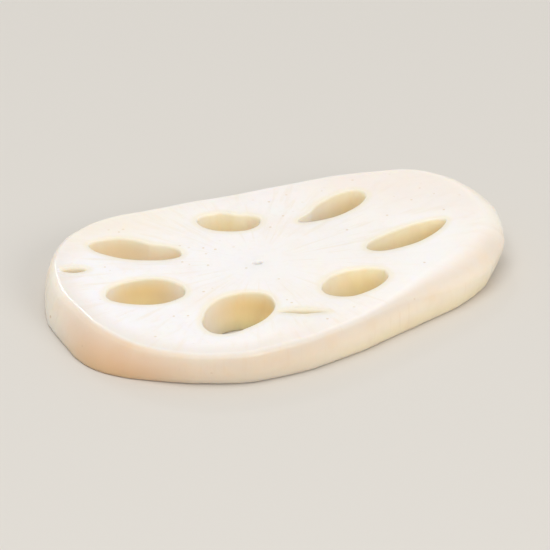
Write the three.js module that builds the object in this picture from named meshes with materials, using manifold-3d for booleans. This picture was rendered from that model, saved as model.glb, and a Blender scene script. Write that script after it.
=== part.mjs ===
// A slice of peeled lotus root, lying flat on its lower cut face.
// Millimetres. +Z is up, +X runs along the slice's length, and the origin is under its middle,
// on the face that it lies on.

import * as THREE from "three";
import { mergeVertices } from "three/addons/utils/BufferGeometryUtils.js";
import Module from "manifold-3d";

// ---------------------------------------------------------------- driving dimensions

// The edge of the upper cut, anticlockwise from the left end: x, y, and how far the
// lower cut's edge stands outside it there. The knife met the root at a slant.
const CUT_EDGE = [
  [-33.5, -1.0, 0.6],
  [-32.6, -8.4, 1.6],
  [-29.4, -16.0, 2.4],
  [-24.8, -23.2, 2.9],
  [-19.2, -28.0, 0.4],
  [-12.2, -30.3, -1.0],
  [-4.7, -29.8, -0.7],
  [2.6, -26.5, -0.2],
  [9.4, -21.8, -0.2],
  [15.2, -16.2, 0.1],
  [20.8, -10.2, 0.2],
  [26.2, -5.0, 0.0],
  [31.0, 0.2, -0.8],
  [33.8, 6.0, -1.4],
  [34.6, 12.2, -1.2],
  [33.0, 19.2, -0.6],
  [28.8, 25.4, 0.2],
  [22.2, 29.8, 0.6],
  [14.8, 29.4, 0.7],
  [6.8, 27.0, 0.7],
  [-1.2, 23.7, 0.7],
  [-10.2, 20.1, 0.7],
  [-18.8, 16.7, 0.7],
  [-27.0, 13.0, 0.7],
  [-31.9, 6.4, 0.7],
];

const THICKNESS = 6.1; // at the origin
const RISE_TO_RIGHT = 0.012; // the upper cut climbs this much a millimetre along +X
const RISE_TO_BACK = 0.02; // and this much along +Y
const KNIFE_WAVE = 0.067; // height of the soft waves that the knife left in the upper face
const KNIFE_WAVE_SIZE = 10; // a wave's length over two pi
const KNIFE_RIPPLE_SIZE = 6;

const SIDE_BULGE = 0.5; // the peeled side stands out this far at half height
const PEEL_STROKES = 20; // flats left round the side by the peeler
const PEEL_FLAT_DEPTH = 0.16; // how far the middle of a flat lies below its ridges

const LOWER_RIM = 0.45; // rounding of the lower edge
const UPPER_RIM = 0.75; // rounding of the upper edge where it is crisp
const SHOULDER = 4.3; // extra width of the rounded shoulder at the right-hand end
const SHOULDER_AT = 5; // degrees round from +X to the middle of the shoulder
const SHOULDER_SPREAD = 28; // degrees
const SHOULDER_DROP = 0.55; // the shoulder's height as a share of its extra width

// The air channels run down through the slice at a slight slant and draw in a little on the way.
const CHANNEL_LEAN = new THREE.Vector2(-0.2, -1.0); // from the upper mouth to the lower one
const CHANNEL_NARROWING = 0.06; // share of the radius lost at the lower mouth
const MOUTH_DEPTH = 0.4; // a mouth draws in to its wall over this depth
const CHANNEL_FLARE = 0.28; // and stands back from the wall by this much all round
const SLIT_FLARE = 0.1;
const FOLD_SPREAD = 26; // degrees of wall that a fold takes up

// centre, length, width, and the angle in degrees of the long axis. taper makes the end at that
// angle broader, bend bows the middle sideways in millimetres, and a fold is a soft ridge
// in the wall: its angle round the outline and its share of the radius.
const CHANNELS = [
  { at: [-20.8, 3.6], length: 14.0, width: 6.5, turn: -12, taper: -0.05, bend: 0, fold: [72, 0.3] },
  { at: [-19.2, -10.3], length: 11.9, width: 8.1, turn: 8, taper: 0.08, bend: 0.4, fold: [0, 0] },
  { at: [-5.3, -16.9], length: 14.4, width: 9.1, turn: 60, taper: 0.16, bend: 0.4, fold: [0, 0] },
  { at: [12.3, -7.0], length: 11.2, width: 7.1, turn: 38, taper: -0.12, bend: 0.3, fold: [0, 0] },
  { at: [19.8, 8.2], length: 14.9, width: 4.9, turn: 40, taper: -0.1, bend: -0.3, fold: [0, 0] },
  { at: [8.3, 17.3], length: 13.6, width: 4.9, turn: 46, taper: 0.25, bend: -0.5, fold: [130, 0.25] },
  { at: [-6.9, 12.4], length: 9.4, width: 6.2, turn: 0, taper: 0.05, bend: 0, fold: [72, 0.3] },
];

// Narrow channels: one between the big ones, one near the skin, and the pinhole at the heart.
const SLITS = [
  { at: [4.3, -16.3], length: 6.6, width: 1.0, turn: 0, taper: -0.2, bend: 0.1, fold: [0, 0] },
  { at: [-30.0, -3.1], length: 3.4, width: 1.4, turn: 3, taper: 0, bend: 0, fold: [0, 0] },
  { at: [-2.5, -0.7], length: 1.4, width: 1.0, turn: 20, taper: 0, bend: 0, fold: [0, 0] },
];

// How finely the solids are divided.
const SAMPLES_A_POINT = 4; // ring points for each point of the cut edge
const LOWER_RIM_ROLLS = [45, 90]; // degrees
const SIDE_RINGS = [0.34, 0.67]; // shares of the way from the lower rim to the upper one
const UPPER_RIM_ROLLS = [0, 30, 60, 90];
const FACE_RINGS = [0.85, 0.68, 0.5, 0.32, 0.15]; // shares of the way out from the middle
const CHANNEL_SIDES = 28;
const SLIT_SIDES = 12;
const OVERRUN = 2; // the cutting solids pass both faces by this much

// ---------------------------------------------------------------- the cut faces and the side

function placed(point, z) {
  return new THREE.Vector3(point.x, point.y, z);
}

// Height of the upper cut face.
function faceHeight(x, y) {
  const plane = THICKNESS + RISE_TO_RIGHT * x + RISE_TO_BACK * y;
  const wave = Math.sin(x / KNIFE_WAVE_SIZE) * Math.cos(y / KNIFE_WAVE_SIZE);
  const ripple = Math.sin((x + 1.5 * y) / KNIFE_RIPPLE_SIZE) / 2;
  return plane + KNIFE_WAVE * (wave + ripple);
}

// A uniform closed spline, whose z is the lower cut's stand-out.
const cutEdge = new THREE.CatmullRomCurve3(
  CUT_EDGE.map(([x, y, standOut]) => new THREE.Vector3(x, y, standOut)),
  true,
  "catmullrom",
  0.5,
);

// A point of the peeled side: u runs round the slice, and depth from 0 at the upper cut
// to 1 at the lower one. inward moves it towards the middle of the slice.
function sidePoint(u, depth, inward) {
  const point = cutEdge.getPoint(u);
  const along = cutEdge.getTangent(u);
  const outward = new THREE.Vector2(along.y, -along.x).normalize();
  const acrossFlat = 2 * ((u * PEEL_STROKES) % 1) - 1;
  const flat = PEEL_FLAT_DEPTH * (1 - acrossFlat ** 2);
  const bulge = SIDE_BULGE * 4 * depth * (1 - depth);
  const out = point.z * depth + bulge - flat - inward;
  return new THREE.Vector2(point.x, point.y).addScaledVector(outward, out);
}

function rimWidth(u) {
  const point = cutEdge.getPoint(u);
  const angle = THREE.MathUtils.radToDeg(Math.atan2(point.y, point.x));
  return UPPER_RIM + SHOULDER * Math.exp(-(((angle - SHOULDER_AT) / SHOULDER_SPREAD) ** 2));
}

function lowerRimPoint(u, roll) {
  const radians = THREE.MathUtils.degToRad(roll);
  const z = LOWER_RIM * (1 - Math.cos(radians));
  return placed(sidePoint(u, 1 - z / THICKNESS, LOWER_RIM * (1 - Math.sin(radians))), z);
}

// roll is 0 degrees where the upper rim leaves the side and 90 where it meets the face,
// and share brings the point down the side towards the lower rim.
function upperRimPoint(u, roll, share) {
  const radians = THREE.MathUtils.degToRad(roll);
  const width = rimWidth(u);
  const drop = UPPER_RIM + (width - UPPER_RIM) * SHOULDER_DROP;
  const corner = cutEdge.getPoint(u);
  const top = faceHeight(corner.x, corner.y);
  const onRim = top - drop * (1 - Math.sin(radians));
  const z = THREE.MathUtils.lerp(LOWER_RIM, onRim, share);
  const point = sidePoint(u, 1 - z / top, width * (1 - Math.cos(radians)));
  return placed(point, roll === 90 ? faceHeight(point.x, point.y) : z);
}

// ---------------------------------------------------------------- closed lofts

// Skins rings of equal length, from the lowest up, and closes each end on a middle point.
function loft(rings, lowEnd, highEnd) {
  const sides = rings[0].length;
  const points = [lowEnd, ...rings.flat(), highEnd];
  const last = points.length - 1;
  const faces = [];
  for (let side = 0; side < sides; side += 1) {
    const next = (side + 1) % sides;
    faces.push(0, 1 + next, 1 + side);
    for (let ring = 0; ring + 1 < rings.length; ring += 1) {
      const low = 1 + ring * sides;
      const high = low + sides;
      faces.push(low + side, low + next, high + next);
      faces.push(low + side, high + next, high + side);
    }
    faces.push(last, last - sides + side, last - sides + next);
  }
  const geometry = new THREE.BufferGeometry();
  geometry.setAttribute("position", new THREE.Float32BufferAttribute(points.flatMap((p) => p.toArray()), 3));
  geometry.setIndex(faces);
  return geometry;
}

// The slice before its channels are opened. Its lower face is dead flat, so it lies still.
function sliceGeometry() {
  const count = CUT_EDGE.length * SAMPLES_A_POINT;
  const stations = Array.from({ length: count }, (_, index) => index / count);
  const lowerEdge = stations.map((u) => lowerRimPoint(u, 0));
  const upperEdge = stations.map((u) => upperRimPoint(u, 90, 1));
  const rings = [
    lowerEdge.map((p) => new THREE.Vector3(p.x / 2, p.y / 2, 0)),
    lowerEdge,
    ...LOWER_RIM_ROLLS.map((roll) => stations.map((u) => lowerRimPoint(u, roll))),
    ...SIDE_RINGS.map((share) => stations.map((u) => upperRimPoint(u, 0, share))),
    ...UPPER_RIM_ROLLS.map((roll) => stations.map((u) => upperRimPoint(u, roll, 1))),
  ];
  for (const share of FACE_RINGS) {
    const inner = upperEdge.map((p) => new THREE.Vector2(p.x, p.y).multiplyScalar(share));
    rings.push(inner.map((p) => placed(p, faceHeight(p.x, p.y))));
  }
  return loft(rings, new THREE.Vector3(0, 0, 0), new THREE.Vector3(0, 0, faceHeight(0, 0)));
}

// ---------------------------------------------------------------- the air channels

function channelOutline(channel, turn) {
  const [foldAt, foldShare] = channel.fold;
  const away = Math.abs(((THREE.MathUtils.radToDeg(turn) - foldAt + 540) % 360) - 180);
  const radius = 1 - foldShare * Math.exp(-((away / FOLD_SPREAD) ** 2));
  const along = (channel.length / 2) * Math.cos(turn) * radius;
  const across = (channel.width / 2) * Math.sin(turn) * (1 + channel.taper * Math.cos(turn)) * radius;
  return new THREE.Vector2(along, across + channel.bend * Math.sin(turn) ** 2);
}

// A closed solid that fills one channel and passes both faces.
function channelGeometry(channel, sides, flare) {
  const centre = new THREE.Vector2(...channel.at);
  const angle = THREE.MathUtils.degToRad(channel.turn);
  const height = faceHeight(...channel.at);
  const levels = [
    { z: -OVERRUN, standBack: flare },
    { z: 0, standBack: flare },
    { z: MOUTH_DEPTH, standBack: 0 },
    { z: height - MOUTH_DEPTH, standBack: 0 },
    { z: height, standBack: flare },
    { z: height + OVERRUN, standBack: flare },
  ];
  const rings = levels.map(({ z, standBack }) => {
    const depth = 1 - z / height;
    return Array.from({ length: sides }, (_, index) => {
      const point = channelOutline(channel, (index / sides) * 2 * Math.PI);
      point.multiplyScalar(1 - CHANNEL_NARROWING * depth);
      point.setLength(point.length() + standBack);
      point.rotateAround(new THREE.Vector2(), angle);
      point.add(centre).addScaledVector(CHANNEL_LEAN, depth);
      return placed(point, z);
    });
  });
  const middle = (ring) => ring.reduce((sum, p) => sum.add(p), new THREE.Vector3()).divideScalar(sides);
  return loft(rings, middle(rings[0]), middle(rings.at(-1)));
}

// ---------------------------------------------------------------- cutting and the finished part

const wasm = await Module();
wasm.setup();

function solid(geometry) {
  const merged = mergeVertices(geometry);
  return new wasm.Manifold(
    new wasm.Mesh({
      numProp: 3,
      vertProperties: new Float32Array(merged.attributes.position.array),
      triVerts: new Uint32Array(merged.index.array),
    }),
  );
}

function geometryOf(body) {
  const mesh = body.getMesh();
  const geometry = new THREE.BufferGeometry();
  geometry.setAttribute("position", new THREE.BufferAttribute(mesh.vertProperties, 3));
  geometry.setIndex(new THREE.BufferAttribute(mesh.triVerts, 1));
  geometry.computeVertexNormals();
  return geometry;
}

let flesh = solid(sliceGeometry());
for (const channel of CHANNELS) {
  flesh = flesh.subtract(solid(channelGeometry(channel, CHANNEL_SIDES, CHANNEL_FLARE)));
}
for (const slit of SLITS) {
  flesh = flesh.subtract(solid(channelGeometry(slit, SLIT_SIDES, SLIT_FLARE)));
}

const fleshMaterial = new THREE.MeshStandardMaterial({ color: 0xf8f1e8, roughness: 0.42, metalness: 0 });
const slice = new THREE.Mesh(geometryOf(flesh), fleshMaterial);
slice.name = "lotus_root_slice";

const group = new THREE.Group();
group.add(slice);

export default group;
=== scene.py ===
import math
from collections import namedtuple

import bpy
import numpy as np
from mathutils import Matrix, Vector
from mathutils.geometry import delaunay_2d_cdt


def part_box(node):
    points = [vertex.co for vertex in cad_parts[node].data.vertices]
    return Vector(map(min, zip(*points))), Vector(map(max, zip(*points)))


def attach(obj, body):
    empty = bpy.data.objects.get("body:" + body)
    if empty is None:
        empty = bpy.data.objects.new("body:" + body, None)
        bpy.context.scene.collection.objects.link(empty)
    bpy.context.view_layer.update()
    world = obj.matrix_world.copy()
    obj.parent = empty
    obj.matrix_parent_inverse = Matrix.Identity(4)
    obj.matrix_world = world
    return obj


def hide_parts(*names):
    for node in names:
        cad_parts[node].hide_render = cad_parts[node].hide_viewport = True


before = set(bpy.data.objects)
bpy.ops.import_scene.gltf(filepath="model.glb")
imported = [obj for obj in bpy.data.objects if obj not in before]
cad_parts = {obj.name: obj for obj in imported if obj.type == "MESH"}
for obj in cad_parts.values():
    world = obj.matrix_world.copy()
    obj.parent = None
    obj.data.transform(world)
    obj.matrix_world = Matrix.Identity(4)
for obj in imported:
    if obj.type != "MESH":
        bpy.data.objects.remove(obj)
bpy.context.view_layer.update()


# ---------------------------------------------------------------- camera
# A long lens looks down on the slice from a low three-quarter height, so that its
# upper cut, its channels and the near side all show, with hardly any perspective.
MM = 0.001
LOOKS_DOWN = math.radians(26.9)
ROLL = math.radians(0.6)
DISTANCE = 3000 * MM
VIEW_WIDTH = 82.5 * MM
SENSOR = 36  # millimetres

lens = bpy.data.cameras.new("camera")
lens.sensor_width = SENSOR
lens.lens = SENSOR * DISTANCE / VIEW_WIDTH
camera = bpy.data.objects.new("camera", lens)
bpy.context.scene.collection.objects.link(camera)
bpy.context.scene.camera = camera
low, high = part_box("lotus_root_slice")
aim = (low + high) / 2
camera.location = aim + DISTANCE * Vector((0, -math.cos(LOOKS_DOWN), math.sin(LOOKS_DOWN)))
tilted = Matrix.Rotation(math.pi / 2 - LOOKS_DOWN, 3, "X") @ Matrix.Rotation(ROLL, 3, "Z")
camera.rotation_euler = tilted.to_euler()


# ---------------------------------------------------------------- the slice
# One slice of raw peeled lotus root: crisp, wet, starchy flesh, cut across with a kitchen
# knife. It grew as one piece, so it is one skin of faces, from the upper cut over the
# peeled side to the lower cut and through every air channel. Sizes here are in millimetres.

# The edge of the upper cut, anticlockwise from the left end: x, y, and how far the
# lower cut's edge stands outside it there.
CUT_EDGE = np.array(
    [
        (-33.5, -1.0, 0.6),
        (-32.6, -8.4, 1.6),
        (-29.4, -16.0, 2.4),
        (-24.8, -23.2, 2.9),
        (-19.2, -28.0, 0.4),
        (-12.2, -30.3, -1.0),
        (-4.7, -29.8, -0.7),
        (2.6, -26.5, -0.2),
        (9.4, -21.8, -0.2),
        (15.2, -16.2, 0.1),
        (20.8, -10.2, 0.2),
        (26.2, -5.0, 0.0),
        (31.0, 0.2, -0.8),
        (33.8, 6.0, -1.4),
        (34.6, 12.2, -1.2),
        (33.0, 19.2, -0.6),
        (28.8, 25.4, 0.2),
        (22.2, 29.8, 0.6),
        (14.8, 29.4, 0.7),
        (6.8, 27.0, 0.7),
        (-1.2, 23.7, 0.7),
        (-10.2, 20.1, 0.7),
        (-18.8, 16.7, 0.7),
        (-27.0, 13.0, 0.7),
        (-31.9, 6.4, 0.7),
    ]
)
THICKNESS = 6.1
RISE_TO_RIGHT = 0.012
RISE_TO_BACK = 0.02
KNIFE_WAVE = 0.067
KNIFE_WAVE_SIZE = 10
KNIFE_RIPPLE_SIZE = 6


def face_height(x, y):
    """Height of the upper cut, with the soft waves that the knife left in it."""
    plane = THICKNESS + RISE_TO_RIGHT * x + RISE_TO_BACK * y
    wave = np.sin(x / KNIFE_WAVE_SIZE) * np.cos(y / KNIFE_WAVE_SIZE)
    ripple = np.sin((x + 1.5 * y) / KNIFE_RIPPLE_SIZE) / 2
    return plane + KNIFE_WAVE * (wave + ripple)


def along_edge(u):
    """The cut edge's place, stand-out and outward direction at shares u of the way round."""
    position = u * len(CUT_EDGE)
    first = np.floor(position).astype(int)
    t = (position - first)[:, None]
    a, b, c, d = (CUT_EDGE[(first + step) % len(CUT_EDGE)] for step in (-1, 0, 1, 2))
    square = 2 * a - 5 * b + 4 * c - d
    cube = 3 * b - a - 3 * c + d
    point = (2 * b + (c - a) * t + square * t**2 + cube * t**3) / 2
    slope = (c - a) + 2 * square * t + 3 * cube * t**2
    outward = np.stack([slope[:, 1], -slope[:, 0]], axis=1)
    outward /= np.linalg.norm(outward, axis=1)[:, None]
    return point[:, :2], point[:, 2], outward


# The peeler ran along the root, so it left flats that go down the side, and fine lines
# the same way.
SIDE_BULGE = 0.5
PEEL_STROKES = 20
PEEL_FLAT_DEPTH = 0.16
PEEL_LINE_DEPTH = 0.035
PEEL_LINE_SWAY = 0.01
WIDE_PEEL_LINES = 61
CLOSE_PEEL_LINES = 97


def side_point(u, depth, inward):
    """A ring of the side. depth is 0 at the upper cut and 1 at the lower one."""
    place, stand_out, outward = along_edge(u)
    across_flat = 2 * ((u * PEEL_STROKES) % 1) - 1
    flat = PEEL_FLAT_DEPTH * (1 - across_flat**2)
    bulge = SIDE_BULGE * 4 * depth * (1 - depth)
    turn = 2 * math.pi * u + PEEL_LINE_SWAY * np.sin(2 * depth)
    wide = np.sin(WIDE_PEEL_LINES * turn + 2 * np.sin(3 * turn))
    close = np.sin(CLOSE_PEEL_LINES * turn + 3 * np.sin(5 * turn + 1))
    fine = PEEL_LINE_DEPTH * (wide + close - 2) / 4
    out = stand_out * depth + bulge - flat + fine - inward
    return place + outward * out[:, None]


# Both cuts meet the side in a narrow rounded rim, and the upper one widens to a broad
# shoulder at the right-hand end. Its place and spread are in degrees round the slice.
LOWER_RIM = 0.45
UPPER_RIM = 0.75
SHOULDER = 4.3
SHOULDER_AT = 5
SHOULDER_SPREAD = 28
SHOULDER_DROP = 0.55


def rim_width(u):
    """How far in from the side the upper rim's rounding reaches."""
    place = along_edge(u)[0]
    angle = np.degrees(np.arctan2(place[:, 1], place[:, 0]))
    return UPPER_RIM + SHOULDER * np.exp(-(((angle - SHOULDER_AT) / SHOULDER_SPREAD) ** 2))


def lower_rim_ring(u, roll):
    """roll is 0 where the rim meets the lower cut and a quarter turn where it meets the side."""
    z = LOWER_RIM * (1 - math.cos(roll))
    place = side_point(u, np.full(len(u), 1 - z / THICKNESS), LOWER_RIM * (1 - math.sin(roll)))
    return np.column_stack([place, np.full(len(u), z)])


def upper_rim_ring(u, roll, share):
    """roll is 0 where the rim leaves the side and a quarter turn where it meets the cut.

    A share below 1 puts the ring that much of the way up the side instead.
    """
    width = rim_width(u)
    drop = UPPER_RIM + (width - UPPER_RIM) * SHOULDER_DROP
    corner = along_edge(u)[0]
    top = face_height(corner[:, 0], corner[:, 1])
    on_rim = top - drop * (1 - math.sin(roll))
    z = LOWER_RIM + (on_rim - LOWER_RIM) * share
    place = side_point(u, 1 - z / top, width * (1 - math.cos(roll)))
    if roll == math.pi / 2:
        z = face_height(place[:, 0], place[:, 1])
    return np.column_stack([place, z])


# The air channels, oval and uneven, each with a soft lip at both mouths and faint ribs
# down its wall. The angle is that of the long axis. A fold is where the wall turns in: its
# angle round the channel, and by what share. The lining is the strength of its colour, and
# paler lists the angles at which it is weaker, and by what share. Both are partly painted
# light and shade: a weaker lining stands for a wall that the light reaches better.
Channel = namedtuple("Channel", "centre length width angle taper bend fold lining paler")

# The seven large ones, anticlockwise from the far left.
CHANNELS = [
    Channel((-20.8, 3.6), 14.0, 6.5, -12, -0.05, 0.0, (72, 0.30), 0.75, [(60, 0.45), (180, 0.4)]),
    Channel((-19.2, -10.3), 11.9, 8.1, 8, 0.08, 0.4, (0, 0), 1.0, [(0, 0.8), (180, 0.85)]),
    Channel((-5.3, -16.9), 14.4, 9.1, 60, 0.16, 0.4, (0, 0), 1.08, [(75, 0.3), (125, 0.95), (180, 0.7)]),
    Channel((12.3, -7.0), 11.2, 7.1, 38, -0.12, 0.3, (0, 0), 0.7, [(142, 0.6), (-28, 0.3)]),
    Channel((19.8, 8.2), 14.9, 4.9, 40, -0.10, -0.3, (0, 0), 0.55, [(150, 0.2)]),
    Channel((8.3, 17.3), 13.6, 4.9, 46, 0.25, -0.5, (130, 0.25), 0.5, [(130, 0.9), (185, 0.8)]),
    Channel((-6.9, 12.4), 9.4, 6.2, 0, 0.05, 0.0, (72, 0.30), 0.6, [(10, 0.5), (180, 0.5)]),
]

# The small ones: a slit between the two near channels, one by the left end, and a pinhole
# at the heart.
SLITS = [
    Channel((4.3, -16.3), 6.6, 1.0, 0, -0.20, 0.1, (0, 0), 0.55, []),
    Channel((-30.0, -3.1), 3.4, 1.4, 3, 0.0, 0.0, (0, 0), 0.6, []),
    Channel((-2.5, -0.7), 1.4, 1.0, 20, 0.0, 0.0, (0, 0), 0.1, []),
]
CHANNEL_LEAN = (-0.2, -1.0)
CHANNEL_NARROWING = 0.06
MOUTH_DEPTH = 0.4
CHANNEL_FLARE = 0.28
SLIT_FLARES = (0.75, 0.45, 0.25)
FOLD_SPREAD = 26
RIB_DEPTH = 0.05
UNEVEN = 0.025


def turns(count):
    """Even steps round a channel."""
    return np.arange(count) / count * 2 * math.pi


def channel_ring(channel, count, z, stand_back, rib_depth):
    """A ring of a channel's wall at height z, widened by stand_back where the lip flares."""
    centre_x, centre_y = channel.centre
    depth = 1 - z / face_height(centre_x, centre_y)
    turn = turns(count)
    fold_at, fold_share = channel.fold
    from_fold = np.abs((np.degrees(turn) - fold_at + 540) % 360 - 180)
    radius = 1 - fold_share * np.exp(-((from_fold / FOLD_SPREAD) ** 2))
    # Three, five and eight faint swellings round the channel, and finer ribs down it, fall
    # differently on each one, because its own centre shifts them.
    uneven = np.sin(3 * turn + centre_x) + np.sin(5 * turn + centre_y)
    uneven += np.sin(8 * turn + 2 * centre_x) / 2
    radius *= 1 + UNEVEN * uneven / 2.5
    along = channel.length / 2 * np.cos(turn) * radius
    across = channel.width / 2 * np.sin(turn) * (1 + channel.taper * np.cos(turn)) * radius
    across += channel.bend * np.sin(turn) ** 2
    reach = np.hypot(along, across)
    ribs = np.sin(11 * turn + centre_x) + np.sin(17 * turn + centre_y)
    ribs += np.sin(5 * turn + 3 * depth)
    wall = reach * (1 - CHANNEL_NARROWING * depth) + stand_back + rib_depth * ribs / 3
    along, across = along * wall / reach, across * wall / reach
    angle = math.radians(channel.angle)
    x = centre_x + along * math.cos(angle) - across * math.sin(angle) + CHANNEL_LEAN[0] * depth
    y = centre_y + along * math.sin(angle) + across * math.cos(angle) + CHANNEL_LEAN[1] * depth
    return np.column_stack([x, y, np.full(count, z)])


PALE_FOCUS = 4  # the higher, the narrower a paler place is


def lining_round(channel, count):
    """How much of the lining's own colour each point round the wall has."""
    lining = np.full(count, channel.lining)
    for pale_at, pale_share in channel.paler:
        towards = 0.5 + 0.5 * np.cos(turns(count) - math.radians(pale_at))
        lining *= 1 - pale_share * towards**PALE_FOCUS
    return lining


# The mesh is gathered here: points, faces, and what the material asks about each point.
FAR = 20  # millimetres, past any distance that changes the colour
points = []
faces = []
told = {
    "peeled": [],  # 1 on the peeled side, 0 on a cut
    "lined": [],  # how strong the lining is on a channel's wall, 0 on a cut
    "sunk": [],  # 0 at the upper cut, 1 at the lower one
    "from_skin": [],  # millimetres in from the skin, on a cut
    "from_mouth": [],  # millimetres from the nearest channel, on a cut
}


def add_points(block, peeled, lined, from_skin, from_mouth):
    """Keeps a block of points with what is told about them, and gives the points' numbers."""
    first = sum(len(known) for known in points)
    points.append(block)
    sunk = 1 - block[:, 2] / face_height(block[:, 0], block[:, 1])
    for name, value in zip(told, (peeled, lined, sunk, from_skin, from_mouth)):
        told[name].append(np.broadcast_to(value, len(block)))
    return np.arange(first, first + len(block))


def skin(rings, inside_out):
    """Joins rings of the same length into bands of four-sided faces."""
    for lower, upper in zip(rings, rings[1:]):
        band = [lower, np.roll(lower, -1), np.roll(upper, -1), upper]
        if inside_out:
            band.reverse()
        faces.extend(np.column_stack(band).tolist())


SIDE_SAMPLES = 24 * len(CUT_EDGE)
LOWER_RIM_STEPS = 5
SIDE_STEPS = 12
UPPER_RIM_STEPS = 12
round_the_side = np.arange(SIDE_SAMPLES) / SIDE_SAMPLES
side_rings = []
for step in range(LOWER_RIM_STEPS + 1):
    share = step / LOWER_RIM_STEPS
    ring = lower_rim_ring(round_the_side, share * math.pi / 2)
    side_rings.append(add_points(ring, share, 0, 0, FAR))
for step in range(1, SIDE_STEPS):
    ring = upper_rim_ring(round_the_side, 0, step / SIDE_STEPS)
    side_rings.append(add_points(ring, 1, 0, 0, FAR))
for step in range(UPPER_RIM_STEPS + 1):
    share = step / UPPER_RIM_STEPS
    ring = upper_rim_ring(round_the_side, share * math.pi / 2, 1)
    side_rings.append(add_points(ring, 1 - share, 0, 0, FAR))
skin(side_rings, False)

STEP_ROUND_CHANNEL = 0.36
FEWEST_STEPS = 16
MOUTH_STEPS = 5
WALL_STEPS = 12
LINING_AT_LIP = 0.7  # the lower, the sooner the lining's colour starts below the lip


def bore(channel, flare, rib_depth):
    """Adds a channel's wall from its lower mouth to its upper one, and gives its rings."""
    length, width = channel.length, channel.width
    root = math.sqrt((3 * length + width) * (length + 3 * width))
    way_round = math.pi * (3 * (length + width) - root) / 2
    count = max(FEWEST_STEPS, round(way_round / STEP_ROUND_CHANNEL))
    lining = lining_round(channel, count)
    height = face_height(*channel.centre)
    rings = []
    for step in range(MOUTH_STEPS + 1):
        share = step / MOUTH_STEPS
        roll = share * math.pi / 2
        z = MOUTH_DEPTH * (1 - math.cos(roll))
        ring = channel_ring(channel, count, z, flare * (1 - math.sin(roll)), rib_depth * share)
        rings.append(add_points(ring, 0, lining * share**LINING_AT_LIP, FAR, 0))
    for step in range(1, WALL_STEPS):
        z = MOUTH_DEPTH + (height - 2 * MOUTH_DEPTH) * step / WALL_STEPS
        ring = channel_ring(channel, count, z, 0, rib_depth)
        rings.append(add_points(ring, 0, lining, FAR, 0))
    for step in range(MOUTH_STEPS + 1):
        share = 1 - step / MOUTH_STEPS
        roll = step / MOUTH_STEPS * math.pi / 2
        under = MOUTH_DEPTH * (1 - math.sin(roll))
        stand_back = flare * (1 - math.cos(roll))
        ring = channel_ring(channel, count, height - under, stand_back, rib_depth * share)
        ring[:, 2] = face_height(ring[:, 0], ring[:, 1]) - under
        rings.append(add_points(ring, 0, lining * share**LINING_AT_LIP, FAR, 0))
    skin(rings, True)
    return rings


channel_rings = [bore(channel, CHANNEL_FLARE, RIB_DEPTH) for channel in CHANNELS]
channel_rings += [bore(slit, flare, 0) for slit, flare in zip(SLITS, SLIT_FLARES)]


def inside(outline, x, y):
    """Whether each point lies inside a closed outline."""
    found = np.zeros(len(x), bool)
    for (x1, y1), (x2, y2) in zip(outline, np.roll(outline, -1, axis=0)):
        if y1 != y2:
            crosses = (y1 > y) != (y2 > y)
            found ^= crosses & (x < (x2 - x1) * (y - y1) / (y2 - y1) + x1)
    return found


def on_cut(outlines, x, y):
    """Whether each point lies inside a cut's edge, the first outline, and outside its mouths."""
    found = inside(outlines[0], x, y)
    for outline in outlines[1:]:
        found &= ~inside(outline, x, y)
    return found


def nearest(outline, x, y):
    """Distance from each point to the nearest corner of an outline."""
    best = np.full(len(x), np.inf)
    for corner_x, corner_y in outline:
        best = np.minimum(best, np.hypot(x - corner_x, y - corner_y))
    return best


LIP_DROP = 0.06
LIP_WIDTH = 0.3
LIP_REACH = 0.7
DRAG_DEPTH = 0.008
DRAG_ANGLE = math.radians(17)
DRAG_SWAY = 1.2
DRAG_SWAY_SIZE = 15


def upper_cut(x, y, from_skin, from_mouth):
    """The upper cut, with the knife's drag lines, rolled down a little towards each edge."""
    nearest_edge = np.minimum(from_skin, from_mouth)
    sway = DRAG_SWAY * np.sin(x / DRAG_SWAY_SIZE)
    across = y * math.cos(DRAG_ANGLE) - x * math.sin(DRAG_ANGLE) + sway
    # Three sets of lines, about 2, 1.2 and 0.8 mm apart.
    lines = np.sin(2.9 * across) + np.sin(5.3 * across + np.sin(x / 6)) + np.sin(7.7 * across + 2)
    fade = 1 - np.exp(-nearest_edge / LIP_REACH)
    rolled = (1 - fade) * LIP_DROP * np.minimum(nearest_edge, LIP_WIDTH) / LIP_WIDTH
    return face_height(x, y) + fade * DRAG_DEPTH * (lines / 3 - 1) - rolled


def lower_cut(x, y, from_skin, from_mouth):
    """The lower cut lies flat, because the slice rests on it."""
    return np.zeros(len(x))


UPPER_GRID = 0.38
LOWER_GRID = 0.8
CLEAR_OF_EDGE = 0.6  # the share of a grid's step that its spots keep from every edge
WHOLE_HULL = 0  # asks for triangles over everything within the outermost points
SAME_PLACE = 1e-6  # points closer than this count as one


def even_spots(outlines, grid):
    """Spots in even rows all over a cut, with their distances from its skin and its mouths."""
    low_x, low_y = outlines[0].min(axis=0)
    high_x, high_y = outlines[0].max(axis=0)
    spots = []
    for row, y in enumerate(np.arange(low_y, high_y, grid * math.sqrt(3) / 2)):
        start = low_x + row % 2 * grid / 2
        spots.extend((x, y) for x in np.arange(start, high_x, grid))
    x, y = np.array(spots).T
    kept = on_cut(outlines, x, y)
    x, y = x[kept], y[kept]
    from_skin = nearest(outlines[0], x, y)
    from_mouth = np.min([nearest(outline, x, y) for outline in outlines[1:]], axis=0)
    clear = np.minimum(from_skin, from_mouth) > grid * CLEAR_OF_EDGE
    return x[clear], y[clear], from_skin[clear], from_mouth[clear]


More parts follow.
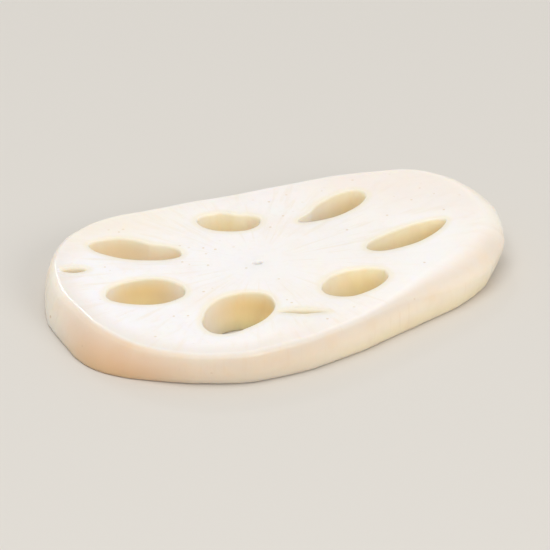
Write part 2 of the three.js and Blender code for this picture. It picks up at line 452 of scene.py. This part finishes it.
def cover(skin_loop, mouth_loops, grid, height, upwards):
    """Fills a cut between its edge and its mouths with small, even triangles."""
    loops = [skin_loop] + mouth_loops
    everything = np.vstack(points)
    outlines = [everything[loop][:, :2] for loop in loops]
    x, y, from_skin, from_mouth = even_spots(outlines, grid)
    block = np.column_stack([x, y, height(x, y, from_skin, from_mouth)])
    own = add_points(block, 0, 0, from_skin, from_mouth)
    known = np.concatenate(loops + [own])
    flat = np.vstack(outlines + [block[:, :2]])
    edges = []
    first = 0
    for outline in outlines:
        corners = np.arange(first, first + len(outline))
        edges.extend(zip(corners.tolist(), np.roll(corners, -1).tolist()))
        first += len(outline)
    filled = delaunay_2d_cdt([Vector(spot) for spot in flat], edges, [], WHOLE_HULL, SAME_PLACE)
    triangles, origin = filled[2:4]
    corners = np.array([[origin[corner][0] for corner in triangle] for triangle in triangles])
    kept = on_cut(outlines, *flat[corners].mean(axis=1).T)
    corners = corners[kept] if upwards else corners[kept][:, ::-1]
    faces.extend(known[corners].tolist())


cover(side_rings[-1], [rings[-1] for rings in channel_rings], UPPER_GRID, upper_cut, True)
cover(side_rings[0], [rings[0] for rings in channel_rings], LOWER_GRID, lower_cut, False)

slice_mesh = bpy.data.meshes.new("lotus_flesh")
slice_mesh.from_pydata((np.vstack(points) * MM).tolist(), [], faces)
slice_mesh.validate()
slice_mesh.shade_smooth()
for name, blocks in told.items():
    layer = slice_mesh.attributes.new(name, "FLOAT", "POINT")
    layer.data.foreach_set("value", np.concatenate(blocks).astype(np.float32))
lotus = bpy.data.objects.new("lotus_flesh", slice_mesh)
bpy.context.scene.collection.objects.link(lotus)


class Wire:
    """The output of a material's node. Reckoning with it, as with a number, adds Math nodes."""

    def __init__(self, tree, socket=None):
        self.tree = tree
        self.socket = socket

    def node(self, kind, settings, sockets, output=0):
        """Adds a node of a kind: its settings come first, then what goes into its sockets."""
        made = self.tree.nodes.new("ShaderNode" + kind)
        for name, value in settings.items():
            setattr(made, name, value)
        for name, value in sockets.items():
            if isinstance(value, Wire):
                self.tree.links.new(value.socket, made.inputs[name])
            else:
                made.inputs[name].default_value = value
        return Wire(self.tree, made.outputs[output] if made.outputs else None)

    def reckon(self, operation, first, second):
        """Adds a Math node on two values."""
        return self.node("Math", {"operation": operation}, {0: first, 1: second})

    def __add__(self, other):
        return self.reckon("ADD", self, other)

    def __radd__(self, other):
        return self.reckon("ADD", other, self)

    def __sub__(self, other):
        return self.reckon("SUBTRACT", self, other)

    def __rsub__(self, other):
        return self.reckon("SUBTRACT", other, self)

    def __mul__(self, other):
        return self.reckon("MULTIPLY", self, other)

    def __rmul__(self, other):
        return self.reckon("MULTIPLY", other, self)

    def rise(self, low, high):
        """Goes softly from 0 at low to 1 at high."""
        sockets = {"Value": self, "From Min": low, "From Max": high}
        return self.node("MapRange", {"interpolation_type": "SMOOTHSTEP"}, sockets)

    def fall(self, low, high):
        """Goes softly from 1 at low to 0 at high."""
        return 1 - self.rise(low, high)


def shade(red, green, blue):
    """A colour, not near black, given as it looks on a screen, from 0 to 255."""
    return tuple(((part / 255 + 0.055) / 1.055) ** 2.4 for part in (red, green, blue)) + (1,)


flesh = bpy.data.materials.new("lotus_flesh")
flesh.use_nodes = True
flesh.node_tree.nodes.clear()
surface = Wire(flesh.node_tree)

# Places on the slice are in millimetres to the right of its middle and to the back of it.
metres = surface.node("TexCoord", {}, {}, "Object")
place = surface.node("VectorMath", {"operation": "SCALE"}, {0: metres, "Scale": 1 / MM})
to_right = surface.node("SeparateXYZ", {}, {0: place}, "X")
to_back = surface.node("SeparateXYZ", {}, {0: place}, "Y")


def asked(name):
    """What the mesh tells about each point under a name."""
    return surface.node("Attribute", {"attribute_name": name}, {}, "Fac")


def blend(share, under, over):
    """Lays a share of one colour over another. Mix takes colours at 6 and 7 and gives one at 2."""
    return surface.node("Mix", {"data_type": "RGBA"}, {0: share, 6: under, 7: over}, 2)


def grains(x, y, z, turn=0):
    """The place on the slice, turned about Z, counted in grains of the given sizes."""
    sockets = {"Vector": place, "Angle": turn}
    turned = surface.node("VectorRotate", {"rotation_type": "Z_AXIS"}, sockets)
    return surface.node("VectorMath", {"operation": "DIVIDE"}, {0: turned, 1: (x, y, z)})


def cloud(place_in_grains, detail, roughness=0.5):
    """Soft clouds about one grain across, from 0 to 1."""
    sockets = {"Vector": place_in_grains, "Scale": 1, "Detail": detail, "Roughness": roughness}
    return surface.node("TexNoise", {}, sockets)


def dots(place_in_grains):
    """How far it is to the nearest of some scattered points, about one to a grain."""
    sockets = {"Vector": place_in_grains, "Scale": 1, "Randomness": 0.9}
    return surface.node("TexVoronoi", {}, sockets)


peeled = asked("peeled")
lined = asked("lined")
sunk = asked("sunk")
from_skin = asked("from_skin")
from_mouth = asked("from_mouth")

# The cut: wet ivory starch, a little warmer to the right. It is duller just under the skin
# at the front and left, partly its own tone and partly painted shade where the cut rolls
# over into the side, creamier at the back, whiter by the right-hand end, and each channel
# has a thin creamy ring. Faint fibres run out from the heart to the skin, and vessels cut
# across show as fine dots.
HEART = (-2.5, -0.7, 0)
FIBRES_IN_A_RADIAN = 16
FIBRE_CHANGE = 0.12  # grains along a fibre in a millimetre
from_heart = surface.node("VectorMath", {"operation": "SUBTRACT"}, {0: place, 1: HEART})
level = surface.node("VectorMath", {"operation": "MULTIPLY"}, {0: from_heart, 1: (1, 1, 0)})
outward = surface.node("VectorMath", {"operation": "NORMALIZE"}, {0: level})
reach = surface.node("VectorMath", {"operation": "LENGTH"}, {0: level}, "Value")
heading_sockets = {0: outward, "Scale": FIBRES_IN_A_RADIAN}
heading = surface.node("VectorMath", {"operation": "SCALE"}, heading_sockets)
along_fibre = surface.node("CombineXYZ", {}, {"Z": reach * FIBRE_CHANGE})
fibre_place = surface.node("VectorMath", {"operation": "ADD"}, {0: heading, 1: along_fibre})
fibre = cloud(fibre_place, 3, 0.55)
fibres = fibre.rise(0.5, 0.72) * reach.rise(3, 9)
mottle = cloud(grains(8, 8, 8), 3)
starch = cloud(grains(1.0, 1.0, 1.0), 4, 0.6)
streak = cloud(grains(12, 0.6, 3, -DRAG_ANGLE), 2)
vessel = dots(grains(1.9, 1.9, 30)).fall(0.07, 0.15)
vessel_groups = cloud(grains(5, 5, 5), 1).rise(0.48, 0.6)
vessels = vessel * vessel_groups * from_mouth.rise(0.4, 1.0) * from_skin.rise(0.8, 1.4)
ivory = blend(to_right.rise(-34, 34), shade(251, 245, 245), shade(250, 241, 234))
ivory = blend(mottle.rise(0.45, 0.72) * 0.6, ivory, shade(247, 237, 229))
ivory = blend(starch.rise(0.5, 0.8) * 0.35, ivory, shade(244, 233, 223))
ivory = blend(fibres * 0.5, ivory, shade(243, 230, 214))
# duller band under the skin: partly the flesh's own tone, partly painted shade where the cut rolls over
# at the front
under_skin_and_shade = from_skin.fall(0, 3.6) * to_right.fall(-6, 16) * (0.65 - to_back.rise(-8, 12) * 0.5)
ivory = blend(under_skin_and_shade, ivory, shade(229, 222, 212))
back_left = to_right.fall(-30, 0) * to_back.rise(0, 12)
ivory = blend(back_left * 0.8, ivory, shade(247, 235, 218))
back_right = to_right.rise(-8, 14) * to_back.rise(13, 25)
ivory = blend(back_right * 0.6, ivory, shade(247, 233, 222))
right_end = to_right.rise(14, 22) * to_right.fall(25, 31) * to_back.fall(9, 18)
ivory = blend(right_end * 0.6, ivory, shade(254, 248, 246))
at_a_cut = sunk.fall(0.02, 0.15) + sunk.rise(0.85, 0.98)
mouth_ring = from_mouth.fall(0, 1.2) * reach.rise(1.5, 3) * (0.4 + at_a_cut * 0.6)
ivory = blend(mouth_ring * 0.7, ivory, shade(247, 234, 208))
ivory = blend(vessels * 0.6, ivory, shade(222, 199, 162))

# The peeled side: cream, paler at the right-hand end towards the back, with faint lines down
# it from the peeler and a few specks where rootlets were. Painted light brightens its left
# end and the right of its front; painted shade darkens its front and the top of it towards
# the middle and right; and painted shade with warm bounced light turns it tan low down at
# the front left.
patch = cloud(grains(6, 6, 5), 3)
peel_line = cloud(grains(0.8, 0.8, 9), 3, 0.6)
speck = dots(grains(4.2, 4.2, 3.4)).fall(0.03, 0.09)
# painted shade with warm bounced light: tan at the front left, stronger low down
painted_shade_tan = to_right.rise(-36, -27) * to_right.fall(-24, -7) * to_back.fall(-26, -2)
painted_shade_tan = painted_shade_tan * (0.34 + sunk * 0.66)
# painted shade: the top of the side is darker towards the middle and right
cream = blend(to_right.rise(-22, 0), shade(239, 228, 214), shade(230, 218, 204))
cream = blend(sunk.rise(0.1, 0.6), cream, shade(243, 227, 206))
# painted light: the left end, which faces away from the lamps, made paler
left_end_painted_light = to_right.fall(-34, -27)
cream = blend(left_end_painted_light * 0.8, cream, shade(255, 241, 226))
# painted shade: the middle of the front side made darker
front = to_right.rise(-14, -4) * to_right.fall(4, 12) * to_back.fall(-22, -12)
cream = blend(front * 0.3, cream, shade(220, 204, 183))
# painted shade: a greyer band along the top of the side at the front, where the rim catches the lamps
front_rim_painted_shade = sunk.fall(0.0, 0.15) * to_back.fall(-14, -4)
front_rim_painted_shade = front_rim_painted_shade * to_right.rise(-20, 0) * to_right.fall(14, 24)
cream = blend(front_rim_painted_shade * 0.7, cream, shade(228, 222, 217))
# painted light: the upper right of the front side, which gets less light, made paler
right_front_painted_light = to_right.rise(-4, 26) * to_back.fall(-2, 14) * sunk.rise(0.1, 0.5)
cream = blend(right_front_painted_light * 0.7, cream, shade(250, 236, 215))
right_foot = to_right.rise(2, 20) * to_back.fall(0, 10) * sunk.rise(0.5, 0.9)
cream = blend(right_foot * 0.85, cream, shade(255, 232, 192))
right_back = to_right.rise(10, 28) * to_back.rise(6, 14)
cream = blend(right_back * 0.8, cream, shade(252, 243, 230))
cream = blend(patch.rise(0.45, 0.7) * 0.4, cream, shade(237, 215, 184))
cream = blend(painted_shade_tan * 0.95, cream, shade(226, 179, 131))
cream = blend(peel_line.rise(0.55, 0.8) * 0.2, cream, shade(226, 200, 164))
cream = blend(speck * 0.5, cream, shade(196, 158, 114))

# The channel's lining: a smooth tan skin of its own, dull at the lip and yellower further
# down, with faint lines along it. Painted light makes it paler deep down, against the shade
# inside the channel, and brighter in the channels to the right and back.
wall_cloud = cloud(grains(2.2, 2.2, 5), 2)
wall_line = cloud(grains(0.5, 0.5, 8), 2, 0.6)
tan = blend(sunk.rise(0.0, 0.35), shade(231, 219, 192), shade(237, 213, 157))
# painted light: paler deep down, against the shade inside the channel
tan = blend(sunk.rise(0.35, 0.75), tan, shade(254, 230, 178))
# painted light: a brighter lining for the channels to the right and back
painted_lit_tan = blend(sunk.rise(0.0, 0.4), shade(249, 233, 196), shade(255, 230, 166))
tan = blend((to_right + to_back).rise(-18, 4), tan, painted_lit_tan)
tan = blend(wall_cloud.rise(0.45, 0.7) * 0.3, tan, shade(244, 214, 158))
tan = blend(wall_line.rise(0.55, 0.8) * 0.2, tan, shade(232, 198, 146))

colour = blend(peeled.rise(0.0, 0.6), ivory, cream)
colour = blend(lined.rise(0.0, 1.0), colour, tan)

# A thin film of water over the flesh, wetter in places, and a fine grain that the light
# just catches: drag lines, starch, fibres, sunken vessels and the peeler's lines.
wetness = cloud(grains(3.5, 3.5, 3.5), 3)
fineness = cloud(grains(0.3, 0.3, 0.3), 2)
relief = streak * 0.25 + fineness * 0.4 + starch * 0.4 + fibre * 0.4
relief = relief - vessels * 0.5 + peel_line * peeled * 0.6
bump = surface.node("Bump", {}, {"Strength": 0.5, "Distance": 0.08 * MM, "Height": relief})
shader = surface.node(
    "BsdfPrincipled",
    {},
    {
        "Base Color": colour,
        "Roughness": 0.3 + wetness * 0.2 + peeled * 0.06,
        "Normal": bump,
        "IOR": 1.38,
        "Subsurface Weight": 0.65,
        "Subsurface Radius": (1.0, 0.8, 0.55),
        "Subsurface Scale": 3.5 * MM,
        "Coat Weight": 0.5,
        "Coat Roughness": 0.17,
    },
)
surface.node("OutputMaterial", {}, {"Surface": shader})
slice_mesh.materials.append(flesh)

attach(lotus, "root")
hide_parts("lotus_root_slice")


# ---------------------------------------------------------------- the table
# A plain sheet of pale matt paper that the slice lies on, flat and wide enough to fill
# every view. It isn't part of the slice.
FLOOR_HALF = 2.0
PALE_PAPER = (0.70, 0.67, 0.62, 1)
PAPER_ROUGHNESS = 0.8
floor_mesh = bpy.data.meshes.new("floor")
corners = [(x * FLOOR_HALF, y * FLOOR_HALF, 0) for x, y in ((-1, -1), (1, -1), (1, 1), (-1, 1))]
floor_mesh.from_pydata(corners, [], [(0, 1, 2, 3)])
floor = bpy.data.objects.new("floor", floor_mesh)
bpy.context.scene.collection.objects.link(floor)
paper = bpy.data.materials.new("pale_paper")
paper.use_nodes = True
paper_shader = paper.node_tree.nodes["Principled BSDF"]
paper_shader.inputs["Base Color"].default_value = PALE_PAPER
paper_shader.inputs["Roughness"].default_value = PAPER_ROUGHNESS
floor_mesh.materials.append(paper)


# ---------------------------------------------------------------- light
# Two broad soft lamps, one overhead and one in front to the right, a small one low behind
# for a wet sheen on the cut, and a pale room around them.
ROOM_WHITE = (1, 1, 1, 1)
ROOM_STRENGTH = 0.61


def soft_lamp(name, at, size, watts, colour):
    """A round lamp that faces the slice."""
    lamp = bpy.data.lights.new(name, "AREA")
    lamp.shape = "DISK"
    lamp.size = size
    lamp.energy = watts
    lamp.color = colour
    holder = bpy.data.objects.new(name, lamp)
    holder.location = at
    holder.rotation_euler = (aim - Vector(at)).to_track_quat("-Z", "Y").to_euler()
    bpy.context.scene.collection.objects.link(holder)
    return holder


overhead = soft_lamp("overhead", (-0.12, -0.18, 0.8), size=0.6, watts=2.42, colour=(1, 0.99, 0.98))
overhead.visible_glossy = False  # it would wash out the wet cut seen from above
soft_lamp("front", (0.62, -0.72, 0.5), size=0.5, watts=2.9, colour=(1, 0.98, 0.96))
soft_lamp("behind", (-0.25, 1.0, 0.68), size=0.14, watts=0.7, colour=(1, 1, 1))
room = bpy.data.worlds.new("room")
room.use_nodes = True
room.node_tree.nodes["Background"].inputs["Color"].default_value = ROOM_WHITE
room.node_tree.nodes["Background"].inputs["Strength"].default_value = ROOM_STRENGTH
bpy.context.scene.world = room
bpy.context.scene.view_settings.view_transform = "Standard"

bpy.context.view_layer.update()
